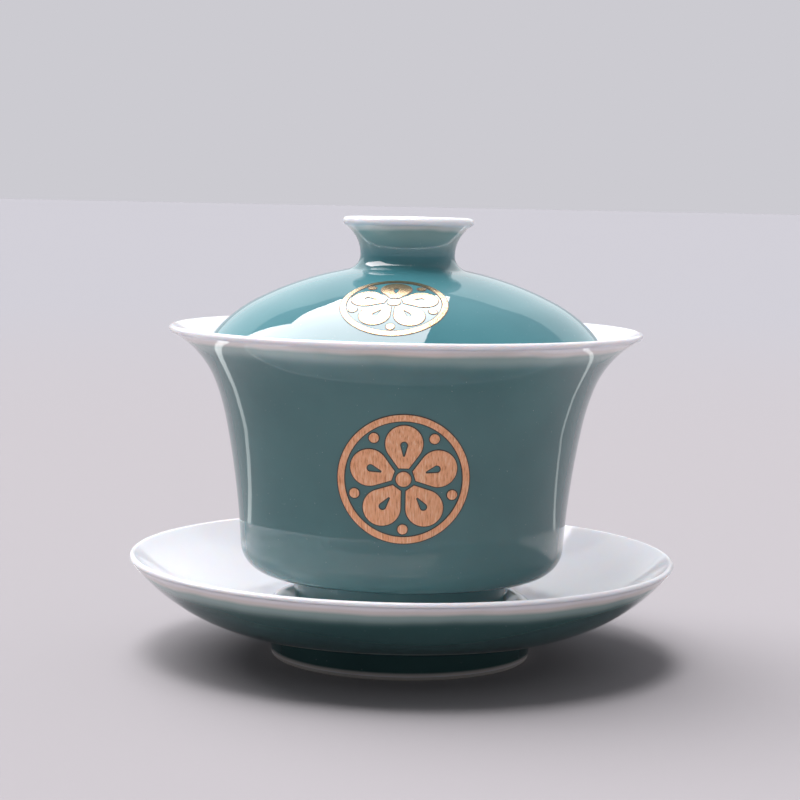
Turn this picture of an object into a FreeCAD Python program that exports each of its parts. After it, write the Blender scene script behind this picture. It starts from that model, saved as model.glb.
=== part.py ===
"""A three-piece gaiwan: a saucer, a flared bowl that stands in its well, and a domed lid with a ring knob.

Every piece is turned about the Z axis. The origin is on the axis, at the surface that the saucer stands on,
and +Z is up. Lengths are millimetres and angles are degrees.

Each porcelain form is drawn whole, with its glazed surface. The coloured glaze is the outer skin of that
form, so the porcelain under it is what is left when the skin is taken away, and the two meet face to face.
"""

import FreeCAD, Part
import Sketcher
import math
import os

from FreeCAD import Placement, Rotation, Vector

SIZES = {
    # saucer, heights above the table
    "saucer_rim_radius": 57.85,
    "saucer_rim_height": 21.9,
    "saucer_lip_radius": 0.65,
    "saucer_lip_lean": 43,
    "saucer_foot_radius": 27.4,
    "saucer_foot_width": 2.5,
    "saucer_foot_spread": 1.1,
    "saucer_neck_height": 5.7,
    "saucer_skirt_width": 3.5,
    "saucer_skirt_height": 6.15,
    "saucer_recess_height": 6.0,
    "saucer_floor": 4.2,
    # well in the saucer, with a bead around it that keeps the bowl's foot in place
    "well_play": 2.0,
    "well_slope": 1.1,
    "bead_width": 1.9,
    "bead_rise": 1.5,
    "bead_skirt": 1.6,
    "dish_rise": 0.7,
    # bowl, heights above the bottom of its own foot; a share is a part of the rim's radius
    "bowl_rim_radius": 50,
    "bowl_rim_height": 59.9,
    "bowl_lip_radius": 0.7,
    "bowl_lip_lean": 63,
    "bowl_foot_share": 0.448,
    "bowl_foot_width": 2.2,
    "bowl_foot_spread": 0.9,
    "bowl_neck_height": 7.35,
    "bowl_base_inset": 5.4,
    "bowl_base_height": 7.9,
    "bowl_heel_share": 0.688,
    "bowl_heel_height": 13.5,
    "bowl_waist_share": 0.756,
    "bowl_waist_depth": 20.1,
    "bowl_flare_share": 0.802,
    "bowl_flare_depth": 12.1,
    "bowl_wall": 2.4,
    "bowl_recess_height": 6.8,
    "bowl_floor": 3.6,
    "bowl_floor_dish": 0.35,
    "bowl_floor_inset": 12,
    "bowl_inner_heel_rise": 9.4,
    # conical seat inside the bowl's flare, where the lid's edge rests
    "seat_inset": 7.7,
    "seat_depth": 5.1,
    "seat_lean": 45,
    "seat_land": 2.5,
    "seat_gap": 0.1,
    # lid, heights above its lowest edge; a share is a part of the bowl rim's radius
    "lid_lip_radius": 0.9,
    "lid_dome_share": 1.38,
    "lid_height_share": 0.372,
    "lid_shoulder_share": 0.63,
    "lid_shoulder_inset": 1.0,
    "lid_wall": 2.4,
    "lid_turn": -5,
    # ring knob, heights above the top of the dome
    "knob_rim_radius": 13.93,
    "knob_rim_height": 10.0,
    "knob_lip_radius": 0.9,
    "knob_lip_lean": 62,
    "knob_waist_radius": 10.03,
    "knob_waist_height": 1.95,
    "knob_foot_radius": 12.57,
    "knob_bore_radius": 7.4,
    "knob_bore_height": 2.08,
    "knob_sink": 1.0,
    # feet, glaze and emblems; the bowl's emblem is in parts of the rim's height, and the lid's of its radius
    "draft": 0.6,
    "foot_round": 0.5,
    "neck_round": 1.0,
    "bare_foot": 1.0,
    "glaze_thickness": 0.4,
    "band_margin": 1.0,
    "emblem_thickness": 0.1,
    "bowl_emblem_share": 0.217,
    "bowl_emblem_middle": 0.5376,
    "lid_emblem_share": 0.214,
    "lid_emblem_tilt": 25.4,
    # blossom drawn in each emblem, as shares of the emblem's radius
    "ring_share": 0.9,
    "petal_tip_share": 0.065,
    "petal_cut_share": 0.13,
    "petal_side_share": 0.392,
    "petal_count": 5,
    "eye_tip_share": 0.3,
    "eye_cut_share": 0.055,
    "eye_side_share": 0.22,
    "eye_angle": 15,
    "dot_share": 0.075,
    "dot_place_share": 0.78,
    "heart_share": 0.115,
}

doc = FreeCAD.newDocument("gaiwan")


def make_sheet():
    """The table of driving sizes, one to a row."""
    table = doc.addObject("Spreadsheet::Sheet", "Sizes")
    for row, (alias, size) in enumerate(SIZES.items(), start=1):
        table.set(f"A{row}", alias)
        table.set(f"B{row}", str(size))
        table.setAlias(f"B{row}", alias)
    doc.recompute()
    return table


sheet = make_sheet()


def value(expression):
    """The number that an expression over the sizes comes to."""
    return float(sheet.evalExpression(expression))


# ---- outlines ----------------------------------------------------------------------------------------------
#
# A path is a list of (kind, across, up). across and up are expressions for the corner that the stretch ends
# at: the distance from the axis, and the height. The first entry only starts the path. The kinds are
#   line   straight
#   arc    an arc that leaves the stretch before it smoothly
#   lead   an arc that runs smoothly into the stretch after it
#   dome   an arc whose centre is on the axis


def turned(direction, left):
    """A direction turned by a right angle."""
    return Vector(-direction.y, direction.x) if left else Vector(direction.y, -direction.x)


def arc_from(point, direction, other):
    """Centre, and whether it turns left, of the arc that leaves point along direction and meets other."""
    normal = turned(direction, True)
    chord = other - point
    signed_radius = chord.dot(chord) / (2 * normal.dot(chord))
    return point + normal * signed_radius, signed_radius > 0


class Stretch:
    """One line or arc of a path, between two corners."""

    def __init__(self, kind, first, last):
        self.kind = kind
        self.first = first
        self.last = last
        self.centre = None
        self.left = True
        if kind == "dome":
            rise = 2 * (last.y - first.y)
            self.centre = Vector(0, (last.dot(last) - first.dot(first)) / rise)
            self.left = (first - self.centre).cross(last - self.centre).z > 0

    def direction(self, point):
        """The way the stretch runs at one of its ends."""
        along = self.last - self.first if self.centre is None else turned(point - self.centre, self.left)
        return along.normalize()

    def follow(self, before):
        """Leave the stretch before smoothly."""
        self.centre, self.left = arc_from(self.first, before.direction(self.first), self.last)

    def run_into(self, after):
        """Run into the stretch after smoothly."""
        backwards = after.direction(self.last) * -1
        self.centre, right = arc_from(self.last, backwards, self.first)
        self.left = not right

    def geometry(self):
        """The sketch geometry, which always turns left."""
        if self.centre is None:
            return Part.LineSegment(self.first, self.last)
        start, end = (self.first, self.last) if self.left else (self.last, self.first)
        circle = Part.Circle(self.centre, Vector(0, 0, 1), (start - self.centre).Length)
        angles = [math.atan2(p.y - self.centre.y, p.x - self.centre.x) for p in (start, end)]
        return Part.ArcOfCircle(circle, angles[0], angles[1])

    def end_position(self, at_last):
        """Which end of the geometry a corner is: 1 for its start and 2 for its end."""
        forward = self.centre is None or self.left
        return 2 if at_last == forward else 1


def solve_path(path, closed):
    """The stretches of a path, each with its place worked out from the sizes."""
    corners = [Vector(value(across), value(up)) for _, across, up in path]
    kinds = [kind for kind, _, _ in path[1:]]
    if closed:
        corners.append(corners[0])
        kinds.append("line")
    stretches = [Stretch(kind, a, b) for kind, a, b in zip(kinds, corners, corners[1:])]
    for stretch, after in zip(stretches, stretches[1:]):
        if stretch.kind == "lead":
            stretch.run_into(after)
    for before, stretch in zip(stretches, stretches[1:]):
        if stretch.kind == "arc":
            stretch.follow(before)
    return stretches


def place_point(sketch, geometry, position, across, up):
    """Tie a point to its distance from the axis and its height."""
    for kind, expression, axis in (("DistanceX", across, -2), ("DistanceY", up, -1)):
        size = value(expression)
        if expression == "0":
            sketch.addConstraint(Sketcher.Constraint("PointOnObject", geometry, position, axis))
            continue
        index = sketch.addConstraint(Sketcher.Constraint(kind, -1, 1, geometry, position, size))
        name = f"{kind}_{index}"
        sketch.renameConstraint(index, name)
        sketch.setExpression(f"Constraints.{name}", expression)


def draw_path(sketch, path, closed=True):
    """Draw a path in a sketch, with every corner bound to the sizes and every smooth joint tangent."""
    stretches = solve_path(path, closed)
    first = sketch.GeometryCount
    for stretch in stretches:
        sketch.addGeometry(stretch.geometry(), False)
    for index, stretch in enumerate(stretches):
        geometry = first + index
        if stretch.kind == "dome":
            sketch.addConstraint(Sketcher.Constraint("PointOnObject", geometry, 3, -2))
        place_point(sketch, geometry, stretch.end_position(False), *path[index][1:])
        if index + 1 < len(stretches):
            after = stretches[index + 1]
            smooth = after.kind == "arc" or stretch.kind == "lead"
            joint = "Tangent" if smooth else "Coincident"
            ends = (geometry, stretch.end_position(True), geometry + 1, after.end_position(False))
            sketch.addConstraint(Sketcher.Constraint(joint, *ends))
    last = first + len(stretches) - 1
    if closed:
        ends = (last, stretches[-1].end_position(True), first, stretches[0].end_position(False))
        sketch.addConstraint(Sketcher.Constraint("Coincident", *ends))
    else:
        place_point(sketch, last, stretches[-1].end_position(True), *path[-1][1:])


def draw_circle(sketch, radius, up="0"):
    """Draw a circle centred on the sketch's vertical axis."""
    circle = Part.Circle(Vector(0, value(up)), Vector(0, 0, 1), value(radius))
    geometry = sketch.addGeometry(circle, False)
    place_point(sketch, geometry, 3, "0", up)
    index = sketch.addConstraint(Sketcher.Constraint("Radius", geometry, value(radius)))
    sketch.renameConstraint(index, f"radius_{index}")
    sketch.setExpression(f"Constraints.radius_{index}", radius)


# ---- solids ------------------------------------------------------------------------------------------------


def new_body(name):
    """An empty body."""
    body = doc.addObject("PartDesign::Body", name)
    body.AllowCompound = True
    return body


def upright_sketch(body, name):
    """A sketch on the body's XZ plane: across is X, and up is Z."""
    sketch = body.newObject("Sketcher::SketchObject", name)
    plane = next(f for f in body.Origin.OriginFeatures if f.Role == "XZ_Plane")
    sketch.AttachmentSupport = [(plane, "")]
    sketch.MapMode = "FlatFace"
    return sketch


def turned_body(name, path, lift):
    """A closed path turned about the axis, raised by lift."""
    body = new_body(name)
    sketch = upright_sketch(body, name + "_outline")
    draw_path(sketch, path)
    turn = body.newObject("PartDesign::Revolution", name + "_turned")
    turn.Profile = sketch
    turn.ReferenceAxis = (sketch, ["V_Axis"])
    turn.Angle = 360
    body.Tip = turn
    doc.recompute()
    body.setExpression("Placement.Base.z", lift)
    return body


def round_edges(body, radius, places):
    """Round the circular edges of a turned body at each (across, up)."""
    solid = body.Tip
    wanted = [(value(across), value(up)) for across, up in places]
    names = []
    for number, edge in enumerate(solid.Shape.Edges, start=1):
        if not isinstance(edge.Curve, Part.Circle) or len(edge.Vertexes) > 1:
            continue
        centre, size = edge.Curve.Center, edge.Curve.Radius
        if any(abs(size - across) < 1e-4 and abs(centre.z - up) < 1e-4 for across, up in wanted):
            names.append(f"Edge{number}")
    if len(names) != len(places):
        raise RuntimeError(f"{body.Name}: {len(names)} of {len(places)} edges found")
    fillet = body.newObject("PartDesign::Fillet", f"{body.Name}_{radius}")
    fillet.Base = (solid, names)
    fillet.setExpression("Radius", f"Sizes.{radius}")
    body.Tip = fillet
    doc.recompute()


def band(name, path, inward, outward, lift):
    """A band on both sides of a surface: an open path, spread to each side and turned about the axis.

    The path runs with the porcelain on its left, so that inward is to the left and outward to the right.
    """
    sketch = doc.addObject("Sketcher::SketchObject", name + "_path")
    sketch.Placement = Placement(Vector(), Rotation(Vector(1, 0, 0), 90))
    draw_path(sketch, path, closed=False)
    sketch.setExpression("Placement.Base.z", lift)
    outer = doc.addObject("Part::Offset2D", name + "_outer")
    outer.Source = sketch
    outer.setExpression("Value", f"-({outward})")
    face = doc.addObject("Part::Offset2D", name + "_face")
    face.Source = outer
    face.Fill = True
    face.setExpression("Value", f"{inward} + {outward}")
    for offset in (outer, face):
        offset.Mode = "Skin"
        offset.Join = "Intersection"
    turn = doc.addObject("Part::Revolution", name)
    turn.Source = face
    turn.Axis = Vector(0, 0, 1)
    turn.Angle = 360
    turn.Solid = True
    return turn


def boolean(kind, name, base, tool):
    """The cut, common part or fusion of two solids."""
    result = doc.addObject("Part::" + kind, name)
    result.Base = base
    result.Tool = tool
    return result


def lip(prefix, centre_across, centre_up, tilt, side):
    """A corner where a wall meets its rounded lip: side is 1 on the outside and -1 on the inside."""
    reach = f"{side} * Sizes.{prefix}_lip_radius"
    return f"{centre_across} + {reach} * cos({tilt})", f"{centre_up} + {reach} * sin({tilt})"


# ---- the saucer --------------------------------------------------------------------------------------------

WELL_FLOOR = "(Sizes.saucer_recess_height + Sizes.saucer_floor)"
BOWL_FOOT = "(Sizes.bowl_rim_radius * Sizes.bowl_foot_share)"
WELL_RADIUS = f"({BOWL_FOOT} + Sizes.well_play)"
BEAD_INSIDE = f"({WELL_RADIUS} + Sizes.well_slope)"
BEAD_OUTSIDE = f"({BEAD_INSIDE} + Sizes.bead_width)"
BEAD_SHOULDER = f"({WELL_FLOOR} + Sizes.bead_rise)"
SAUCER_FOOT = "Sizes.saucer_foot_radius"
SAUCER_FOOT_INSIDE = f"({SAUCER_FOOT} - Sizes.saucer_foot_width)"
SAUCER_NECK = (f"({SAUCER_FOOT} + Sizes.saucer_foot_spread)", "Sizes.saucer_neck_height")
SAUCER_LIP = (
    "saucer",
    "(Sizes.saucer_rim_radius - Sizes.saucer_lip_radius)",
    "(Sizes.saucer_rim_height - Sizes.saucer_lip_radius)",
    "(-Sizes.saucer_lip_lean * 1 deg)",
)


def glaze_start(foot, piece):
    """Where the glaze starts on a foot's sloping outer wall, above its bare edge."""
    spread = f"Sizes.{piece}_foot_spread * Sizes.bare_foot / Sizes.{piece}_neck_height"
    return ("start", f"({foot} + {spread})", "Sizes.bare_foot")


def saucer_underside():
    """From the neck of the foot out to the lip."""
    return [
        ("line", *SAUCER_NECK),
        ("line", f"{SAUCER_NECK[0]} + Sizes.saucer_skirt_width", "Sizes.saucer_skirt_height"),
        ("arc", *lip(*SAUCER_LIP, 1)),
    ]


def make_saucer():
    """The porcelain saucer and the glaze under it."""
    outline = [
        ("start", "0", "Sizes.saucer_recess_height"),
        ("line", f"{SAUCER_FOOT_INSIDE} - Sizes.draft", "Sizes.saucer_recess_height"),
        ("line", SAUCER_FOOT_INSIDE, "0"),
        ("line", SAUCER_FOOT, "0"),
        *saucer_underside(),
        ("arc", *lip(*SAUCER_LIP, -1)),
        ("arc", f"{BEAD_OUTSIDE} + Sizes.bead_skirt", f"{WELL_FLOOR} + Sizes.dish_rise"),
        ("arc", BEAD_OUTSIDE, BEAD_SHOULDER),
        ("arc", BEAD_INSIDE, BEAD_SHOULDER),
        ("line", WELL_RADIUS, WELL_FLOOR),
        ("line", "0", WELL_FLOOR),
    ]
    form = turned_body("saucer_form", outline, "0")
    round_edges(form, "neck_round", [SAUCER_NECK])
    round_edges(form, "foot_round", [(SAUCER_FOOT_INSIDE, "0"), (SAUCER_FOOT, "0")])
    coat = [glaze_start(SAUCER_FOOT, "saucer"), *saucer_underside()]
    skin = band("saucer_skin", coat, "Sizes.glaze_thickness", "Sizes.band_margin", "0")
    return {
        "saucer_body": boolean("Cut", "saucer_body", form, skin),
        "saucer_glaze": boolean("Common", "saucer_glaze", form, skin),
    }


# ---- the bowl ----------------------------------------------------------------------------------------------

BOWL_LIFT = WELL_FLOOR
BOWL_FOOT_INSIDE = f"({BOWL_FOOT} - Sizes.bowl_foot_width)"
BOWL_NECK = (f"({BOWL_FOOT} + Sizes.bowl_foot_spread)", "Sizes.bowl_neck_height")
BOWL_HEEL = "(Sizes.bowl_rim_radius * Sizes.bowl_heel_share)"
BOWL_WAIST = "(Sizes.bowl_rim_radius * Sizes.bowl_waist_share)"
BOWL_WAIST_UP = "Sizes.bowl_rim_height - Sizes.bowl_waist_depth"
BOWL_FLARE = "(Sizes.bowl_rim_radius * Sizes.bowl_flare_share)"
BOWL_FLARE_UP = "Sizes.bowl_rim_height - Sizes.bowl_flare_depth"
BOWL_LIP = (
    "bowl",
    "(Sizes.bowl_rim_radius - Sizes.bowl_lip_radius)",
    "(Sizes.bowl_rim_height - Sizes.bowl_lip_radius)",
    "(-Sizes.bowl_lip_lean * 1 deg)",
)
BOWL_FLOOR_UP = "(Sizes.bowl_recess_height + Sizes.bowl_floor)"
SEAT_RADIUS = "(Sizes.bowl_rim_radius - Sizes.seat_inset)"
SEAT_UP = "(Sizes.bowl_rim_height - Sizes.seat_depth)"


def seat_end(side):
    """The upper (1) or lower (-1) end of the conical seat."""
    reach = f"{side} * Sizes.seat_land / 2"
    return (
        f"{SEAT_RADIUS} + {reach} * sin(Sizes.seat_lean * 1 deg)",
        f"{SEAT_UP} + {reach} * cos(Sizes.seat_lean * 1 deg)",
    )


def bowl_outside():
    """From the neck of the foot, round the heel and up the wall to the lip."""
    return [
        ("line", *BOWL_NECK),
        ("line", f"{BOWL_HEEL} - Sizes.bowl_base_inset", "Sizes.bowl_base_height"),
        ("arc", BOWL_HEEL, "Sizes.bowl_heel_height"),
        ("arc", BOWL_WAIST, BOWL_WAIST_UP),
        ("arc", BOWL_FLARE, BOWL_FLARE_UP),
        ("arc", *lip(*BOWL_LIP, 1)),
    ]


def bowl_inside():
    """From the lip down past the lid's seat to the middle of the floor."""
    return [
        ("arc", *seat_end(1)),
        ("line", *seat_end(-1)),
        ("arc", f"{BOWL_FLARE} - Sizes.bowl_wall", BOWL_FLARE_UP),
        ("arc", f"{BOWL_WAIST} - Sizes.bowl_wall", BOWL_WAIST_UP),
        ("arc", f"{BOWL_HEEL} - Sizes.bowl_wall", f"{BOWL_FLOOR_UP} + Sizes.bowl_inner_heel_rise"),
        ("arc", f"{BOWL_HEEL} - Sizes.bowl_floor_inset", f"{BOWL_FLOOR_UP} + Sizes.bowl_floor_dish"),
        ("line", "0", BOWL_FLOOR_UP),
    ]


def make_bowl():
    """The porcelain bowl, the glaze on its outside, and the emblem on its front."""
    outline = [
        ("start", "0", "Sizes.bowl_recess_height"),
        ("line", f"{BOWL_FOOT_INSIDE} - Sizes.draft", "Sizes.bowl_recess_height"),
        ("line", BOWL_FOOT_INSIDE, "0"),
        ("line", BOWL_FOOT, "0"),
        *bowl_outside(),
        ("arc", *lip(*BOWL_LIP, -1)),
        *bowl_inside(),
    ]
    form = turned_body("bowl_form", outline, BOWL_LIFT)
    round_edges(form, "neck_round", [BOWL_NECK])
    round_edges(form, "foot_round", [(BOWL_FOOT_INSIDE, "0"), (BOWL_FOOT, "0")])
    coat = [glaze_start(BOWL_FOOT, "bowl"), *bowl_outside()]
    skin = band("bowl_skin", coat, "Sizes.glaze_thickness", "Sizes.band_margin", BOWL_LIFT)
    emblem_radius = "(Sizes.bowl_rim_height * Sizes.bowl_emblem_share)"
    emblem_up = "Sizes.bowl_rim_height * Sizes.bowl_emblem_middle"
    motif = make_motif("bowl_motif", emblem_radius, "Sizes.bowl_rim_radius")
    motif.setExpression("Placement.Base.z", f"{BOWL_LIFT} + {emblem_up}")
    return {
        "bowl_body": boolean("Cut", "bowl_body", form, skin),
        "bowl_glaze": boolean("Common", "bowl_glaze", form, skin),
        "bowl_emblem": make_emblem("bowl_emblem", coat, BOWL_LIFT, motif, form),
    }


# ---- the lid -----------------------------------------------------------------------------------------------

LID_REACH = "(Sizes.lid_lip_radius + Sizes.seat_gap)"
LID_RIM = f"({SEAT_RADIUS} - {LID_REACH} * cos(Sizes.seat_lean * 1 deg))"
SEAT_RISE = f"({LID_REACH} * sin(Sizes.seat_lean * 1 deg) - Sizes.lid_lip_radius)"
LID_LIFT = f"({BOWL_LIFT} + {SEAT_UP} + {SEAT_RISE})"
DOME_RADIUS = "(Sizes.bowl_rim_radius * Sizes.lid_dome_share)"
DOME_TOP = "(Sizes.bowl_rim_radius * Sizes.lid_height_share)"
DOME_CENTRE = f"({DOME_TOP} - {DOME_RADIUS})"
SHOULDER = "(Sizes.bowl_rim_radius * Sizes.lid_shoulder_share)"
KNOB_LIP = (
    "knob",
    "(Sizes.knob_rim_radius - Sizes.knob_lip_radius)",
    f"({DOME_TOP} + Sizes.knob_rim_height - Sizes.knob_lip_radius)",
    "(-Sizes.knob_lip_lean * 1 deg)",
)
KNOB_WAIST = ("Sizes.knob_waist_radius", f"{DOME_TOP} + Sizes.knob_waist_height")
KNOB_BORE = ("Sizes.knob_bore_radius", f"{DOME_TOP} + Sizes.knob_bore_height")


def on_dome(across, depth="0"):
    """Height of the dome, or of the sphere at a depth under it, at a distance from the axis."""
    return f"({DOME_CENTRE} + sqrt(({DOME_RADIUS} - {depth})^2 - ({across})^2))"


def lid_tilt():
    """How far the lip leans back from level, so that the wall's middle runs smoothly into it."""
    across = f"({SHOULDER} - Sizes.lid_shoulder_inset / 2)"
    slope = f"asin({across} / ({DOME_RADIUS} - Sizes.lid_wall / 2))"
    rise = f"({on_dome(across, 'Sizes.lid_wall / 2')} - Sizes.lid_lip_radius)"
    return f"(90 deg - 2 * atan({rise} / ({LID_RIM} - {across})) + {slope})"


LID_LIP = ("lid", LID_RIM, "Sizes.lid_lip_radius", lid_tilt())


def make_lid():
    """The porcelain dome and its ring knob, the glaze over both, and the emblem on the front slope."""
    knob_foot = ("Sizes.knob_foot_radius", on_dome("Sizes.knob_foot_radius"))
    shoulder = (SHOULDER, on_dome(SHOULDER))
    inner_shoulder = f"({SHOULDER} - Sizes.lid_shoulder_inset)"
    dome_outline = [
        ("start", "0", f"{DOME_TOP} - Sizes.lid_wall"),
        ("dome", inner_shoulder, on_dome(inner_shoulder, "Sizes.lid_wall")),
        ("arc", *lip(*LID_LIP, -1)),
        ("arc", *lip(*LID_LIP, 1)),
        ("lead", *shoulder),
        ("dome", "0", DOME_TOP),
    ]
    knob_outline = [
        ("start", KNOB_BORE[0], on_dome(KNOB_BORE[0], "Sizes.knob_sink")),
        ("line", *KNOB_BORE),
        ("arc", *lip(*KNOB_LIP, -1)),
        ("arc", *lip(*KNOB_LIP, 1)),
        ("arc", *KNOB_WAIST),
        ("arc", *knob_foot),
        ("line", "Sizes.knob_foot_radius", on_dome(knob_foot[0], "Sizes.knob_sink")),
    ]
    coat = [
        ("start", *lip(*LID_LIP, 1)),
        ("lead", *shoulder),
        ("dome", *knob_foot),
        ("arc", *KNOB_WAIST),
        ("arc", *lip(*KNOB_LIP, 1)),
    ]
    recess = [
        ("start", *lip(*KNOB_LIP, -1)),
        ("lead", *KNOB_BORE),
        ("line", KNOB_BORE[0], on_dome(KNOB_BORE[0])),
        ("dome", "0", DOME_TOP),
    ]
    dome = turned_body("lid_form", dome_outline, LID_LIFT)
    knob = turned_body("knob_form", knob_outline, LID_LIFT)
    whole = boolean("Fuse", "lid_whole", dome, knob)
    skin = band("lid_skin", coat, "Sizes.glaze_thickness", "Sizes.band_margin", LID_LIFT)
    pool = band("knob_pool", recess, "Sizes.glaze_thickness", "Sizes.band_margin", LID_LIFT)
    emblem_radius = "(Sizes.bowl_rim_radius * Sizes.lid_emblem_share)"
    motif = make_motif("lid_motif", emblem_radius, f"{DOME_RADIUS} + Sizes.lid_wall")
    tilt = Rotation(Vector(1, 0, 0), value("Sizes.lid_emblem_tilt") - 90)
    motif.Placement.Rotation = Rotation(Vector(0, 0, 1), value("Sizes.lid_turn")) * tilt
    motif.setExpression("Placement.Base.z", f"{LID_LIFT} + {DOME_CENTRE}")
    seated_knob = boolean("Cut", "knob_on_dome", knob, dome)
    return {
        "lid_body": boolean("Cut", "lid_body", boolean("Cut", "dome_outside", dome, skin), pool),
        "lid_knob": boolean("Cut", "lid_knob", boolean("Cut", "knob_outside", seated_knob, skin), pool),
        "lid_glaze": boolean("Common", "lid_glaze", whole, skin),
        "knob_recess_glaze": boolean("Common", "knob_recess_glaze", whole, pool),
        "lid_emblem": make_emblem("lid_emblem", coat, LID_LIFT, motif, dome),
    }


# ---- the emblems -------------------------------------------------------------------------------------------


def petal(radius, tip_share, cut_share, side_share, angle):
    """A closed petal that points up: two straight sides from a blunt tip, and a round head."""

    def corner(side, share):
        reach = f"{radius} * {share}"
        across = f"{side} * {reach} * sin({angle} * 1 deg)"
        return across, f"{radius} * {tip_share} + {reach} * cos({angle} * 1 deg)"

    return [
        ("start", *corner(1, cut_share)),
        ("line", *corner(1, side_share)),
        ("arc", *corner(-1, side_share)),
        ("line", *corner(-1, cut_share)),
    ]


def make_motif(name, radius, reach):
    """A five-petalled blossom in a ring, raised from the XZ plane towards -Y as far as reach."""
    body = new_body(name)
    petals = upright_sketch(body, name + "_petal")
    half_step = "(180 / Sizes.petal_count)"
    shares = ("Sizes.petal_tip_share", "Sizes.petal_cut_share", "Sizes.petal_side_share")
    draw_path(petals, petal(radius, *shares, half_step))
    eye = ("Sizes.eye_tip_share", "Sizes.eye_cut_share", "Sizes.eye_side_share")
    draw_path(petals, petal(radius, *eye, "Sizes.eye_angle"))
    rings = upright_sketch(body, name + "_ring")
    draw_circle(rings, radius)
    draw_circle(rings, f"{radius} * Sizes.ring_share")
    draw_circle(rings, f"{radius} * Sizes.heart_share")
    dots = upright_sketch(body, name + "_dot")
    draw_circle(dots, f"{radius} * Sizes.dot_share", f"-{radius} * Sizes.dot_place_share")
    for sketch in (petals, dots, rings):
        pad = body.newObject("PartDesign::Pad", sketch.Name + "_pad")
        pad.Profile = sketch
        pad.setExpression("Length", reach)
        body.Tip = pad
        doc.recompute()
        if sketch is not rings:
            pattern = body.newObject("PartDesign::PolarPattern", sketch.Name + "_pattern")
            pattern.Originals = [pad]
            pattern.Axis = (sketch, ["N_Axis"])
            pattern.Angle = 360
            pattern.setExpression("Occurrences", "Sizes.petal_count")
            body.Tip = pattern
            doc.recompute()
    return body


def make_emblem(name, coat, lift, motif, form):
    """The motif as a thin metal leaf lying on a turned surface."""
    leaf = band(name + "_leaf", coat, "Sizes.glaze_thickness", "Sizes.emblem_thickness", lift)
    return boolean("Cut", name, boolean("Common", name + "_blank", leaf, motif), form)


# ---- checks and files --------------------------------------------------------------------------------------


def check(pieces):
    """Stop if an object failed, or if a piece isn't made of valid closed solids."""
    for item in doc.Objects:
        if "Invalid" in item.State or "Error" in item.State:
            raise RuntimeError(f"{item.Name} failed: {item.State}")
        if item.isDerivedFrom("Sketcher::SketchObject") and not item.FullyConstrained:
            raise RuntimeError(f"{item.Name} isn't fully constrained")
    for name, piece in pieces.items():
        shape = piece.Shape
        if shape.isNull() or not shape.isValid() or not shape.Solids:
            raise RuntimeError(f"{name} has no valid shape")
        if not all(solid.isClosed() and solid.Volume > 0 for solid in shape.Solids):
            raise RuntimeError(f"{name} isn't closed")


def main():
    """Build every piece, check them all, and write one STEP file for each."""
    pieces = {**make_saucer(), **make_bowl(), **make_lid()}
    doc.recompute()
    check(pieces)
    os.makedirs("parts", exist_ok=True)
    for name, piece in pieces.items():
        piece.Label = name
        piece.Shape.exportStep(f"parts/{name}.step")
        print(f"{name}: {len(piece.Shape.Solids)} solid(s), {piece.Shape.Volume:.1f} mm3")


main()
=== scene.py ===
"""The looks of a three-piece gaiwan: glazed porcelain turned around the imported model's own outlines.

Each porcelain and glaze piece is spun again from the outline that its CAD node has in the XZ plane, finely
enough for clean reflections. Lengths are metres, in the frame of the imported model.
"""

import math

import bpy
from mathutils import Matrix, Vector


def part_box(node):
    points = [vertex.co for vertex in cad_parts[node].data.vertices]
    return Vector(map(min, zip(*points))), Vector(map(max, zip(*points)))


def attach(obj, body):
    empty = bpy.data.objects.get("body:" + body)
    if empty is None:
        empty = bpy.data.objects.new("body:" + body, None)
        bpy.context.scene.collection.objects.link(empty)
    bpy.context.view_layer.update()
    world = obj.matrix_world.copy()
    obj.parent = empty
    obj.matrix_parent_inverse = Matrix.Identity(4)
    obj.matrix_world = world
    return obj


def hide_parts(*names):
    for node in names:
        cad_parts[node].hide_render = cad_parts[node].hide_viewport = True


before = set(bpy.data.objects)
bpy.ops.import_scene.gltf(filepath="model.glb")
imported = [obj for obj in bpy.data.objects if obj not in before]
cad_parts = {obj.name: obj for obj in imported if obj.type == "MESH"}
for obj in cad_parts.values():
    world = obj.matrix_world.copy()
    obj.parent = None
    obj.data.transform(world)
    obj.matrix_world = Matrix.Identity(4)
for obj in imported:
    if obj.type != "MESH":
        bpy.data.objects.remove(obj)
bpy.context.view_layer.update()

MM = 0.001


def linked(name, data):
    """A new object in the scene, with this mesh, light or camera."""
    made = bpy.data.objects.new(name, data)
    bpy.context.scene.collection.objects.link(made)
    return made


def key_of(*lengths):
    """A place as numbers of millimetres that are the same for every face that meets there."""
    return tuple(round(length / MM, 4) for length in lengths)


# ---- outlines of the CAD nodes -----------------------------------------------------------------------------

ON_PLANE = 0.002 * MM
LONGEST_STEP = 1.3 * MM
WIDEST_TURN = math.radians(6)
CORNER = math.radians(15)


def outline_end(mesh, corner):
    """A face corner's key and normal in the half plane y = 0, x >= 0, or None if it lies elsewhere."""
    place = mesh.vertices[mesh.loops[corner].vertex_index].co
    if abs(place.y) > ON_PLANE or place.x < -ON_PLANE:
        return None
    normal = mesh.corner_normals[corner].vector
    return key_of(place.x, place.z), Vector((normal.x, normal.z)).normalized()


def plane_edges(node):
    """A node's edges in that half plane: for the keys of each edge's two ends, the normal at each end."""
    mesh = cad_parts[node].data
    found = {}
    for face in mesh.polygons:
        ends = [outline_end(mesh, corner) for corner in face.loop_indices]
        for here, there in zip(ends, ends[1:] + ends[:1]):
            if here and there and here[0] != there[0]:
                found[frozenset((here[0], there[0]))] = dict((here, there))
    return found


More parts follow.
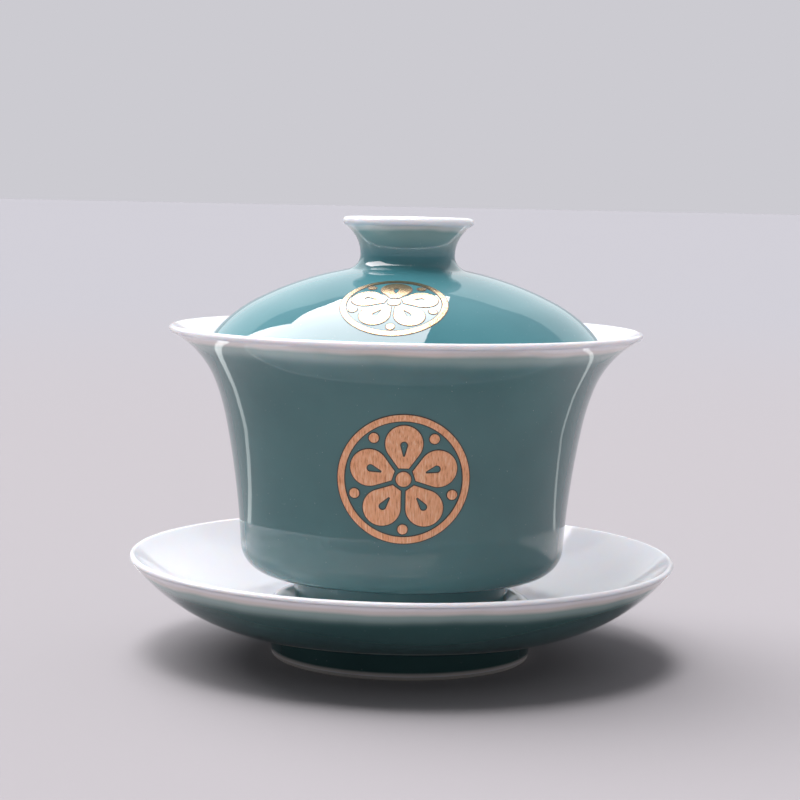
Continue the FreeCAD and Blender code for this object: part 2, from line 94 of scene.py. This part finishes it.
def ordered(edges):
    """The edges as one chain, from its lower end or round a closed outline, and whether it is closed."""
    beside = {}
    for pair in edges:
        for key in pair:
            beside.setdefault(key, []).append(pair)
    ends = [key for key, pairs in beside.items() if len(pairs) == 1]
    closed = not ends
    start = min(beside) if closed else min(ends, key=lambda key: key[1])
    chain = []
    at = start
    last = None
    while not chain or at != start:
        following = [pair for pair in beside[at] if pair != last]
        if not following:
            break
        last = following[0]
        ahead = next(key for key in last if key != at)
        chain.append((at, ahead, edges[last][at], edges[last][ahead]))
        at = ahead
    return chain, closed


def reaching_axis(chain):
    """An open chain with the flat faces put back that lie across the axis, where no edge shows them."""
    first = chain[0][0]
    last = chain[-1][1]
    down = Vector((0, -1))
    up = Vector((0, 1))
    if first[0] > 0:
        chain = [((0.0, first[1]), first, down, down)] + chain
    if last[0] > 0:
        chain = chain + [(last, (0.0, last[1]), up, up)]
    return chain


def slope_along(chord, normal):
    """The slope of an outline with this normal, pointing along the chord and as long as it."""
    along = Vector((-normal.y, normal.x))
    return (along if along.dot(chord) > 0 else -along) * chord.length


def curve_point(a, b, slope_a, slope_b, t):
    """The point a share t of the way along the cubic curve from a to b that has these slopes at its ends."""
    return (
        a * (2 * t**3 - 3 * t**2 + 1)
        + slope_a * (t**3 - 2 * t**2 + t)
        + b * (3 * t**2 - 2 * t**3)
        + slope_b * (t**3 - t**2)
    )


def fine_outline(node):
    """A node's outline as closely spaced (radius, height) points, which are corners, and if it is closed."""
    chain, closed = ordered(plane_edges(node))
    if not closed:
        chain = reaching_axis(chain)
    points = []
    sharp = []
    for index, (first, last, normal_first, normal_last) in enumerate(chain):
        a = Vector(first) * MM
        b = Vector(last) * MM
        chord = b - a
        slopes = [slope_along(chord, normal) for normal in (normal_first, normal_last)]
        turn = slopes[0].angle(slopes[1])
        steps = max(1, math.ceil(chord.length / LONGEST_STEP), math.ceil(turn / WIDEST_TURN))
        before = chain[index - 1][3] if index or closed else normal_first
        for step in range(steps):
            points.append(curve_point(a, b, *slopes, step / steps))
            sharp.append(step == 0 and before.angle(normal_first) > CORNER)
    if not closed:
        points.append(Vector(chain[-1][1]) * MM)
        sharp.append(False)
    return points, sharp, closed


# ---- turned pieces -----------------------------------------------------------------------------------------

SPIN_STEPS = 256
SAME_HEIGHT = 0.0001 * MM


def turned_rows(points):
    """Vertices of the turned points, and for each point the row of vertices that it became."""
    vertices = []
    rows = []
    for point in points:
        if point.x < ON_PLANE:
            rows.append([len(vertices)] * SPIN_STEPS)
            vertices.append((0, 0, point.y))
            continue
        rows.append(list(range(len(vertices), len(vertices) + SPIN_STEPS)))
        for step in range(SPIN_STEPS):
            angle = 2 * math.pi * step / SPIN_STEPS
            vertices.append((point.x * math.cos(angle), point.x * math.sin(angle), point.y))
    return vertices, rows


def turned_faces(points, rows, closed):
    """Faces between each row and the next one, all facing out of the solid."""
    area = sum(a.x * b.y - b.x * a.y for a, b in zip(points, points[1:] + points[:1]))
    following = rows[1:] + rows[:1] if closed else rows[1:]
    faces = []
    for low, high in zip(rows, following):
        for step in range(SPIN_STEPS):
            after = (step + 1) % SPIN_STEPS
            corners = list(dict.fromkeys((low[step], low[after], high[after], high[step])))
            faces.append(corners if area > 0 else corners[::-1])
    return faces


def mark_corners(mesh, rows, sharp):
    """Makes the level edges sharp that join vertices of the outline's corners."""
    at_corner = {index for row, is_sharp in zip(rows, sharp) if is_sharp for index in row}
    for edge in mesh.edges:
        first, last = edge.vertices
        if first in at_corner and last in at_corner:
            rise = abs(mesh.vertices[first].co.z - mesh.vertices[last].co.z)
            edge.use_edge_sharp = rise < SAME_HEIGHT


def spun(name, node, body, material):
    """A piece turned from its CAD node's outline. It stands for the node and rides on its body."""
    points, sharp, closed = fine_outline(node)
    vertices, rows = turned_rows(points)
    mesh = bpy.data.meshes.new(name)
    mesh.from_pydata(vertices, [], turned_faces(points, rows, closed))
    mesh.polygons.foreach_set("use_smooth", [True] * len(mesh.polygons))
    mark_corners(mesh, rows, sharp)
    mesh.materials.append(material)
    piece = linked(name, mesh)
    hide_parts(node)
    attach(piece, body)


# ---- outlines round the emblems ----------------------------------------------------------------------------

LEAF_THICKNESS = 0.1 * MM
LINE_WIDTH = 0.2 * MM
LINE_RISE = 0.035 * MM
LINE_TUCK = 0.05 * MM
LINE_SECTION = (
    (-LINE_TUCK, -LINE_RISE),
    (LINE_WIDTH, -LINE_RISE),
    (LINE_WIDTH, LINE_RISE),
    (-LINE_TUCK, LINE_RISE),
)

# Cosines of how far an outer face may turn from its emblem's front, and a line's side from its mitre.
WIDEST_FACING = 0.6
WIDEST_MITRE = 0.6

BOWL_FRONT = Vector((0, -1, 0))
LID_FRONT = Vector((0, -0.43, 0.9)).normalized()


def open_edges(mesh, facing):
    """Edges that only one of the faces towards facing has: {key: next key}, and their places and normals."""
    edges = {}
    places = {}
    normals = {}
    for face in mesh.polygons:
        if face.normal.dot(facing) < WIDEST_FACING:
            continue
        keys = []
        for corner in face.loop_indices:
            place = mesh.vertices[mesh.loops[corner].vertex_index].co
            key = key_of(*place)
            places[key] = place
            normals[key] = mesh.corner_normals[corner].vector.copy()
            keys.append(key)
        for key, following in zip(keys, keys[1:] + keys[:1]):
            if (following, key) in edges:
                del edges[(following, key)]
            else:
                edges[(key, following)] = True
    return dict(edges.keys()), places, normals


def key_loops(following):
    """The closed loops in a table of keys that gives the next key of each."""
    loops = []
    while following:
        first, at = next(iter(following.items()))
        del following[first]
        keys = [first]
        while at != first:
            keys.append(at)
            at = following.pop(at)
        loops.append(keys)
    return loops


def leaf_loops(node, facing):
    """The closed edges of a leaf's outer faces, each as a list of (place, normal, way out of the leaf)."""
    following, places, normals = open_edges(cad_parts[node].data, facing)
    loops = []
    for keys in key_loops(following):
        loop = []
        for before, key, after in zip(keys[-1:] + keys[:-1], keys, keys[1:] + keys[:1]):
            sides = []
            for a, b in ((before, key), (key, after)):
                along = (places[b] - places[a]).normalized()
                sides.append(along.cross(normals[key]).normalized())
            middle = (sides[0] + sides[1]).normalized()
            out = middle / max(middle.dot(sides[0]), WIDEST_MITRE)
            loop.append((places[key], normals[key], out))
        loops.append(loop)
    return loops


def emblem_outline(name, node, facing, body, material):
    """A fine dark line that lies on the glaze all round each shape of an emblem."""
    vertices = []
    faces = []
    sides = len(LINE_SECTION)
    for loop in leaf_loops(node, facing):
        start = len(vertices)
        for place, normal, out in loop:
            base = place - normal * LEAF_THICKNESS
            for reach, rise in LINE_SECTION:
                vertices.append(base + out * reach + normal * rise)
        for step in range(len(loop)):
            here = start + sides * step
            there = start + sides * ((step + 1) % len(loop))
            for side in range(sides):
                after = (side + 1) % sides
                faces.append((here + side, there + side, there + after, here + after))
    mesh = bpy.data.meshes.new(name)
    mesh.from_pydata(vertices, [], faces)
    mesh.materials.append(material)
    piece = linked(name, mesh)
    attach(piece, body)


# ---- nodes of materials ------------------------------------------------------------------------------------


class Nodes:
    """Short ways to add nodes to a new material."""

    def __init__(self, name):
        self.material = bpy.data.materials.new(name)
        self.material.use_nodes = True
        self.tree = self.material.node_tree
        self.shader = self.tree.nodes["Principled BSDF"]
        self.place = self.add("ShaderNodeTexCoord").outputs["Object"]

    def add(self, kind, **settings):
        node = self.tree.nodes.new(kind)
        for key, setting in settings.items():
            setattr(node, key, setting)
        return node

    def put(self, socket, source):
        """Gives a socket a number or a colour, or links another node's output to it."""
        if isinstance(source, (int, float)):
            socket.default_value = source
        elif isinstance(source, tuple):
            socket.default_value = (*source, 1)
        else:
            self.tree.links.new(source, socket)

    def shade(self, **sources):
        """Sets the shader's inputs. An input's name has _ for each space."""
        for name, source in sources.items():
            self.put(self.shader.inputs[name.replace("_", " ")], source)

    def math(self, operation, first, second):
        node = self.add("ShaderNodeMath", operation=operation)
        self.put(node.inputs[0], first)
        self.put(node.inputs[1], second)
        return node.outputs[0]

    def noise(self, scale, detail, place=None, roughness=0.5):
        node = self.add("ShaderNodeTexNoise")
        self.put(node.inputs["Vector"], place or self.place)
        self.put(node.inputs["Scale"], scale)
        self.put(node.inputs["Detail"], detail)
        self.put(node.inputs["Roughness"], roughness)
        return node.outputs["Fac"]

    def fade(self, source, low, high, from_value=0.0, to_value=1.0):
        """Runs smoothly from one value to the other while the source goes from low to high."""
        node = self.add("ShaderNodeMapRange", interpolation_type="SMOOTHSTEP")
        self.put(node.inputs["Value"], source)
        self.put(node.inputs["From Min"], low)
        self.put(node.inputs["From Max"], high)
        self.put(node.inputs["To Min"], from_value)
        self.put(node.inputs["To Max"], to_value)
        return node.outputs["Result"]

    def mix(self, share, first, second):
        node = self.add("ShaderNodeMix", data_type="RGBA")
        self.put(node.inputs[0], share)
        self.put(node.inputs[6], first)
        self.put(node.inputs[7], second)
        return node.outputs[2]

    def ramp(self, source, stops):
        node = self.add("ShaderNodeValToRGB")
        ramp = node.color_ramp
        ramp.interpolation = "EASE"
        while len(ramp.elements) < len(stops):
            ramp.elements.new(0.5)
        for element, (position, colour) in zip(ramp.elements, stops):
            element.position = position
            element.color = (*colour, 1)
        self.put(node.inputs["Fac"], source)
        return node.outputs["Color"]

    def height(self):
        """Height above the floor at rest. It stays with the piece when the piece is lifted."""
        node = self.add("ShaderNodeSeparateXYZ")
        self.put(node.inputs[0], self.place)
        return node.outputs["Z"]

    def bump(self, source, distance, under=None):
        """A normal raised by the source, on top of another bump if one is given."""
        node = self.add("ShaderNodeBump")
        self.put(node.inputs["Distance"], distance)
        self.put(node.inputs["Strength"], 1.0)
        self.put(node.inputs["Height"], source)
        if under is not None:
            self.put(node.inputs["Normal"], under)
        return node.outputs["Normal"]


# ---- materials ---------------------------------------------------------------------------------------------

# Each glaze has its plain tone and the tone of its deeper clouds.
BOWL_TONES = ((0.073, 0.193, 0.197), (0.057, 0.160, 0.166))
# The lid's tones are a lighter copy of the bowl's teal glaze: painted light, where the lid's top faces the
# lamps.
LID_LIT_TONES = ((0.080, 0.268, 0.300), (0.064, 0.228, 0.260))
# The saucer's tones are a darker copy of the same teal glaze: painted shade on its underside, which faces the
# floor.
SAUCER_SHADED_TONES = ((0.040, 0.104, 0.104), (0.030, 0.082, 0.084))
WARM_EDGE = (0.76, 0.70, 0.665)
GREY_EDGE = (0.315, 0.43, 0.41)
PORCELAIN = (0.895, 0.868, 0.905)
PORCELAIN_CLOUD = (0.87, 0.845, 0.89)
PORCELAIN_SCATTER = (1.0, 0.82, 0.72)
BISCUIT = (0.62, 0.585, 0.54)
BISCUIT_GRIT = (0.52, 0.49, 0.45)
LINE_DARK = (0.020, 0.016, 0.014)
LINE_BROWN = (0.055, 0.036, 0.028)

# Leaf tones, from the dark streaks of its grain to the bright ones, and where they stand in the grain.
COPPER_TONES = ((0.66, 0.26, 0.12), (0.92, 0.46, 0.25), (1.0, 0.66, 0.43))
BRONZE_TONES = ((0.26, 0.18, 0.09), (0.44, 0.33, 0.19), (0.66, 0.53, 0.35))
TONE_STOPS = (0.30, 0.50, 0.72)

# Each noise's scale, which is how many of its waves fit in a metre, and its detail.
GLAZE_CLOUDS = (38.0, 3.0)
PORCELAIN_CLOUDS = (45.0, 3.0)
EDGE_WANDER = (55.0, 2.0)
GLOSS_PATCHES = (120.0, 2.0)
SLOW_WAVE = (42.0, 1.0)
ORANGE_PEEL = (420.0, 2.0)
SPECKS = (2600.0, 1.0)
GRIT = (900.0, 3.0)
LINE_MOTTLE = (900.0, 2.0)
LINE_PATCHES = (600.0, 2.0)

# The leaf's grain has a scale for each axis, so it is drawn out upright.
GRAIN_STRETCH = (3400.0, 3400.0, 60.0)
GRAIN_NOISE = (1.0, 4.0)
GRAIN_HARSHNESS = 0.6

# The middle of a noise's values, which its fades span.
MIDDLE = (0.3, 0.7)

GLAZE_WAVE_DEPTH = 0.10 * MM
PORCELAIN_WAVE_DEPTH = 0.08 * MM
PEEL_DEPTH = 0.004 * MM
GRAIN_DEPTH = 0.03 * MM

# Where a glaze is warm and where it is grey, as shares of the depth below the lip at which it is full.
WIDE_FADE = (0.12, 0.34)
NARROW_FADE = (0.04, 0.13)
WANDER_SHARE = 0.35
CLOUDS_FROM_SHARE = 0.55
FOOT_FADE = 0.9 * MM
SPECK_FADE = (0.775, 0.80)
SPECK_SHARE = 0.25
GLAZE_ROUGHNESS = (0.012, 0.032)
GLAZE_IOR = 1.6

PORCELAIN_ROUGHNESS = (0.05, 0.10)
PORCELAIN_IOR = 1.5
SCATTER_DEPTH = 1.2 * MM
BARE_FADE = 0.25 * MM
BARE_EXTRA_ROUGHNESS = 0.55

LINE_ROUGHNESS = (0.35, 0.55)
STREAK_EXTRA_ROUGHNESS = 0.10


def fired_surface(nodes, wave_depth):
    """The slow waves and fine orange peel of a fired glaze."""
    wave = nodes.bump(nodes.noise(*SLOW_WAVE), wave_depth)
    return nodes.bump(nodes.noise(*ORANGE_PEEL), PEEL_DEPTH, wave)


def glaze_material(name, lip_height, reach, stops, tones, foot_height=None):
    """Coloured glaze that thins to white over the reach below its lip, and to a warm edge at its foot."""
    nodes = Nodes(name)
    plain, deep = tones
    warm, grey = stops
    body = nodes.mix(nodes.fade(nodes.noise(*GLAZE_CLOUDS), *MIDDLE), deep, plain)
    wander = nodes.math("SUBTRACT", nodes.noise(*EDGE_WANDER), 0.5)
    wander = nodes.math("MULTIPLY", wander, WANDER_SHARE * reach)
    depth = nodes.math("ADD", nodes.math("SUBTRACT", lip_height, nodes.height()), wander)
    edge_stops = [(0.0, PORCELAIN), (warm, WARM_EDGE), (grey, GREY_EDGE), (1.0, plain)]
    edge = nodes.ramp(nodes.fade(depth, 0.0, reach), edge_stops)
    colour = nodes.mix(nodes.fade(depth, CLOUDS_FROM_SHARE * reach, reach), edge, body)
    if foot_height is not None:
        rise = nodes.math("SUBTRACT", nodes.height(), foot_height)
        colour = nodes.mix(nodes.fade(rise, 0.0, FOOT_FADE, 1.0, 0.0), colour, WARM_EDGE)
    specks = nodes.fade(nodes.noise(*SPECKS), *SPECK_FADE)
    colour = nodes.mix(nodes.math("MULTIPLY", specks, SPECK_SHARE), colour, PORCELAIN)
    rough = nodes.fade(nodes.noise(*GLOSS_PATCHES), *MIDDLE, *GLAZE_ROUGHNESS)
    nodes.shade(Base_Color=colour, Roughness=rough, IOR=GLAZE_IOR)
    nodes.shade(Normal=fired_surface(nodes, GLAZE_WAVE_DEPTH))
    return nodes.material


def porcelain_material(name, bare_height=None):
    """Clear-glazed white porcelain. Below the bare height it is rough biscuit."""
    nodes = Nodes(name)
    clouds = nodes.fade(nodes.noise(*PORCELAIN_CLOUDS), *MIDDLE)
    colour = nodes.mix(clouds, PORCELAIN, PORCELAIN_CLOUD)
    rough = nodes.fade(nodes.noise(*GLOSS_PATCHES), *MIDDLE, *PORCELAIN_ROUGHNESS)
    if bare_height is not None:
        bare = nodes.fade(nodes.height(), bare_height, bare_height + BARE_FADE, 1.0, 0.0)
        grit = nodes.mix(nodes.noise(*GRIT), BISCUIT, BISCUIT_GRIT)
        colour = nodes.mix(bare, colour, grit)
        rough = nodes.math("ADD", rough, nodes.math("MULTIPLY", bare, BARE_EXTRA_ROUGHNESS))
    nodes.shade(Base_Color=colour, Roughness=rough, IOR=PORCELAIN_IOR)
    nodes.shade(Subsurface_Weight=1.0, Subsurface_Scale=SCATTER_DEPTH)
    nodes.shader.inputs["Subsurface Radius"].default_value = PORCELAIN_SCATTER
    nodes.shade(Normal=fired_surface(nodes, PORCELAIN_WAVE_DEPTH))
    return nodes.material


def line_material(name):
    """The dark brown line round the leaf."""
    nodes = Nodes(name)
    colour = nodes.mix(nodes.noise(*LINE_MOTTLE), LINE_DARK, LINE_BROWN)
    rough = nodes.fade(nodes.noise(*LINE_PATCHES), *MIDDLE, *LINE_ROUGHNESS)
    nodes.shade(Base_Color=colour, Roughness=rough)
    return nodes.material


def leaf_material(name, tones, metallic, rough):
    """Metal leaf with a fine upright grain, rougher in the dark streaks than in the bright ones."""
    nodes = Nodes(name)
    stretch = nodes.add("ShaderNodeMapping")
    nodes.put(stretch.inputs["Vector"], nodes.place)
    stretch.inputs["Scale"].default_value = GRAIN_STRETCH
    grain = nodes.noise(*GRAIN_NOISE, stretch.outputs["Vector"], GRAIN_HARSHNESS)
    colour = nodes.ramp(grain, list(zip(TONE_STOPS, tones)))
    gloss = nodes.fade(grain, *MIDDLE, rough + STREAK_EXTRA_ROUGHNESS, rough)
    nodes.shade(Base_Color=colour, Metallic=metallic, Roughness=gloss)
    nodes.shade(Normal=nodes.bump(grain, GRAIN_DEPTH))
    return nodes.material


# ---- the pieces --------------------------------------------------------------------------------------------

# The feet are bare below one height, and their glaze starts at another.
BARE_RING = 0.7 * MM
GLAZE_START = 1.0 * MM

# How far below its lip each glaze reaches its full colour.
SAUCER_REACH = 6.0 * MM
BOWL_REACH = 5.8 * MM
LID_REACH = 9.0 * MM
RECESS_REACH = 2.0 * MM


def foot_of(node):
    """Height of the lowest point of a node."""
    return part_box(node)[0].z


def add_porcelain():
    """The white bodies. The saucer's and the bowl's feet stand on a bare ring."""
    saucer_white = porcelain_material("saucer_porcelain", foot_of("saucer_body") + BARE_RING)
    bowl_white = porcelain_material("bowl_porcelain", foot_of("bowl_body") + BARE_RING)
    lid_white = porcelain_material("lid_porcelain")
    spun("Saucer_Porcelain", "saucer_body", "saucer", saucer_white)
    spun("Bowl_Porcelain", "bowl_body", "bowl", bowl_white)
    spun("Lid_Porcelain", "lid_body", "lid", lid_white)
    spun("Knob_Porcelain", "lid_knob", "lid", lid_white)


def add_glaze(name, node, body, reach, stops, tones, foot_height=None):
    """A coat of coloured glaze, which fades over the reach below its own upper edge."""
    lip_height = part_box(node)[1].z
    material = glaze_material(node, lip_height, reach, stops, tones, foot_height)
    spun(name, node, body, material)


def add_glazes():
    """The teal coats of the saucer, the bowl, the lid with its knob, and the knob's hollow."""
    saucer_start = foot_of("saucer_body") + GLAZE_START
    bowl_start = foot_of("bowl_body") + GLAZE_START
    lid_start = foot_of("lid_glaze")
    # The saucer takes the darker copy of the teal, painted shade on its underside.
    add_glaze("Saucer_Glaze", "saucer_glaze", "saucer", SAUCER_REACH, WIDE_FADE, SAUCER_SHADED_TONES, saucer_start)
    add_glaze("Bowl_Glaze", "bowl_glaze", "bowl", BOWL_REACH, WIDE_FADE, BOWL_TONES, bowl_start)
    # The lid and its knob's hollow take the lighter copy of the teal, painted light on the lid's top.
    add_glaze("Lid_Glaze", "lid_glaze", "lid", LID_REACH, NARROW_FADE, LID_LIT_TONES, lid_start)
    add_glaze("Knob_Recess_Glaze", "knob_recess_glaze", "lid", RECESS_REACH, WIDE_FADE, LID_LIT_TONES)


def add_emblems():
    """Metal leaf on the emblems' CAD nodes, and a dark line round their shapes."""
    copper = leaf_material("bowl_leaf", COPPER_TONES, metallic=0.55, rough=0.36)
    bronze = leaf_material("lid_leaf", BRONZE_TONES, metallic=0.92, rough=0.12)
    for node, leaf in (("bowl_emblem", copper), ("lid_emblem", bronze)):
        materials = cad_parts[node].data.materials
        materials.clear()
        materials.append(leaf)
    line = line_material("emblem_line")
    emblem_outline("Bowl_Emblem_Outline", "bowl_emblem", BOWL_FRONT, "bowl", line)
    emblem_outline("Lid_Emblem_Outline", "lid_emblem", LID_FRONT, "lid", line)


# ---- floor, light and camera -------------------------------------------------------------------------------

FLOOR_HALF_SIDE = 20.0
FLOOR_NEAR = (0.418, 0.396, 0.408)
FLOOR_FAR = (0.408, 0.402, 0.425)
FLOOR_FADE = (0.25, 1.5)
FLOOR_ROUGHNESS = 0.8

WORLD_FRONT = (0.27, 0.27, 0.282)
WORLD_BACK = (0.604, 0.597, 0.638)
WORLD_STOPS = (0.35, 0.75)

# The lens and the sensor are in millimetres, as Blender takes them.
LENS = 95.42
SENSOR = 36.0
NEAREST_SEEN = 10 * MM
CAMERA_PLACE = (-0.000998, -0.44928, 0.09764)
CAMERA_TIP = math.radians(5.479)
CAMERA_ROLL = math.radians(1.1615)

# The window lies overhead, mostly to the left, and the panel stands behind the object.
WINDOW_HEIGHT = 1.0
WINDOW_CORNERS = (
    (0.17, 0.88),
    (-0.27, 0.87),
    (-0.61, 0.53),
    (-1.15, 1.05),
    (-1.50, 0.80),
    (-1.50, -0.35),
    (0.10, -0.35),
)
PANEL_HALF_WIDTH = 2.0
PANEL_DISTANCE = 1.8
PANEL_LOW = 0.35
PANEL_HIGH = 1.8

# The strips lie just over the floor behind the object, one on each side of its axis.
STRIP_HEIGHT = 2 * MM
STRIP_INNER = 20 * MM
STRIP_OUTER = 1.2
STRIP_START = 69 * MM
LEFT_STRIP_END = 87 * MM
RIGHT_STRIP_END = 79 * MM

WINDOW_LIGHT = (1.0, 0.92, 0.93)
PANEL_LIGHT = (0.93, 0.97, 1.0)
STRIP_LIGHT = (0.97, 0.99, 1.0)
SUN_LIGHT = (0.985, 0.975, 1.0)
KEY_DIRECTION = (-0.44, 0.34, 1.0)
TOP_DIRECTION = (-0.12, -0.22, 1.0)


def add_floor():
    """A plain pale floor under the saucer's foot."""
    side = FLOOR_HALF_SIDE
    mesh = bpy.data.meshes.new("Floor")
    corners = [(-side, -side, 0.0), (side, -side, 0.0), (side, side, 0.0), (-side, side, 0.0)]
    mesh.from_pydata(corners, [], [(0, 1, 2, 3)])
    nodes = Nodes("floor")
    distance = nodes.add("ShaderNodeVectorMath", operation="LENGTH")
    nodes.put(distance.inputs[0], nodes.place)
    far = nodes.fade(distance.outputs["Value"], *FLOOR_FADE)
    colour = nodes.mix(far, FLOOR_NEAR, FLOOR_FAR)
    nodes.shade(Base_Color=colour, Roughness=FLOOR_ROUGHNESS, Specular_IOR_Level=0.0)
    mesh.materials.append(nodes.material)
    linked("Floor", mesh)


def add_softbox(name, corners, strength, colour):
    """A flat lamp that shows only as a reflection."""
    mesh = bpy.data.meshes.new(name)
    mesh.from_pydata(corners, [], [tuple(range(len(corners)))])
    material = bpy.data.materials.new(name)
    material.use_nodes = True
    tree = material.node_tree
    emission = tree.nodes.new("ShaderNodeEmission")
    emission.inputs["Color"].default_value = (*colour, 1)
    emission.inputs["Strength"].default_value = strength
    tree.links.new(emission.outputs[0], tree.nodes["Material Output"].inputs["Surface"])
    mesh.materials.append(material)
    lamp = linked(name, mesh)
    lamp.visible_camera = False
    lamp.visible_diffuse = False
    lamp.visible_shadow = False


def add_sun(name, direction, energy, spread):
    """Soft light from a direction that shades the object but shows in no reflection."""
    light = bpy.data.lights.new(name, "SUN")
    light.energy = energy
    light.angle = math.radians(spread)
    light.color = SUN_LIGHT
    lamp = linked(name, light)
    lamp.rotation_euler = (-Vector(direction)).to_track_quat("-Z", "Y").to_euler()
    lamp.visible_glossy = False


def strip_corners(left, right, far):
    """Corners of a strip that lies just over the floor behind the object."""
    flat = [(left, STRIP_START), (right, STRIP_START), (right, far), (left, far)]
    return [(x, y, STRIP_HEIGHT) for x, y in flat]


def add_lights():
    """Four flat lamps for the reflections, and two suns for the shading."""
    window = [(x, y, WINDOW_HEIGHT) for x, y in WINDOW_CORNERS]
    low = [(x, PANEL_DISTANCE, PANEL_LOW) for x in (-PANEL_HALF_WIDTH, PANEL_HALF_WIDTH)]
    high = [(x, PANEL_DISTANCE, PANEL_HIGH) for x in (PANEL_HALF_WIDTH, -PANEL_HALF_WIDTH)]
    left_strip = strip_corners(-STRIP_OUTER, -STRIP_INNER, LEFT_STRIP_END)
    right_strip = strip_corners(STRIP_INNER, STRIP_OUTER, RIGHT_STRIP_END)
    add_softbox("Window", window, strength=9.4, colour=WINDOW_LIGHT)
    add_softbox("Back_Panel", low + high, strength=1.3, colour=PANEL_LIGHT)
    add_softbox("Left_Strip", left_strip, strength=2.1, colour=STRIP_LIGHT)
    add_softbox("Right_Strip", right_strip, strength=1.7, colour=STRIP_LIGHT)
    add_sun("Key_Light", KEY_DIRECTION, energy=2.9, spread=60)
    add_sun("Top_Light", TOP_DIRECTION, energy=1.25, spread=20)


def add_world():
    """A soft studio surround: bright behind the object and dim in front of it."""
    world = bpy.data.worlds.new("Studio")
    bpy.context.scene.world = world
    world.use_nodes = True
    tree = world.node_tree
    place = tree.nodes.new("ShaderNodeTexCoord")
    split = tree.nodes.new("ShaderNodeSeparateXYZ")
    scale = tree.nodes.new("ShaderNodeMapRange")
    ramp = tree.nodes.new("ShaderNodeValToRGB")
    tree.links.new(place.outputs["Generated"], split.inputs[0])
    tree.links.new(split.outputs["Y"], scale.inputs["Value"])
    scale.inputs["From Min"].default_value = -1.0
    scale.inputs["From Max"].default_value = 1.0
    tree.links.new(scale.outputs["Result"], ramp.inputs["Fac"])
    for element, position, colour in zip(ramp.color_ramp.elements, WORLD_STOPS, (WORLD_FRONT, WORLD_BACK)):
        element.position = position
        element.color = (*colour, 1)
    tree.links.new(ramp.outputs["Color"], tree.nodes["Background"].inputs["Color"])


def add_camera():
    """A long lens a little above the rim, tipped down and rolled slightly as in the photograph."""
    data = bpy.data.cameras.new("Camera")
    data.lens = LENS
    data.sensor_width = SENSOR
    data.clip_start = NEAREST_SEEN
    tip = Matrix.Rotation(math.radians(90) - CAMERA_TIP, 4, "X")
    roll = Matrix.Rotation(CAMERA_ROLL, 4, "Z")
    camera = linked("Camera", data)
    camera.matrix_world = Matrix.Translation(CAMERA_PLACE) @ tip @ roll
    bpy.context.scene.camera = camera


add_porcelain()
add_glazes()
add_emblems()
add_floor()
add_world()
add_camera()
add_lights()
bpy.context.scene.view_settings.view_transform = "Standard"
bpy.context.scene.view_settings.look = "None"
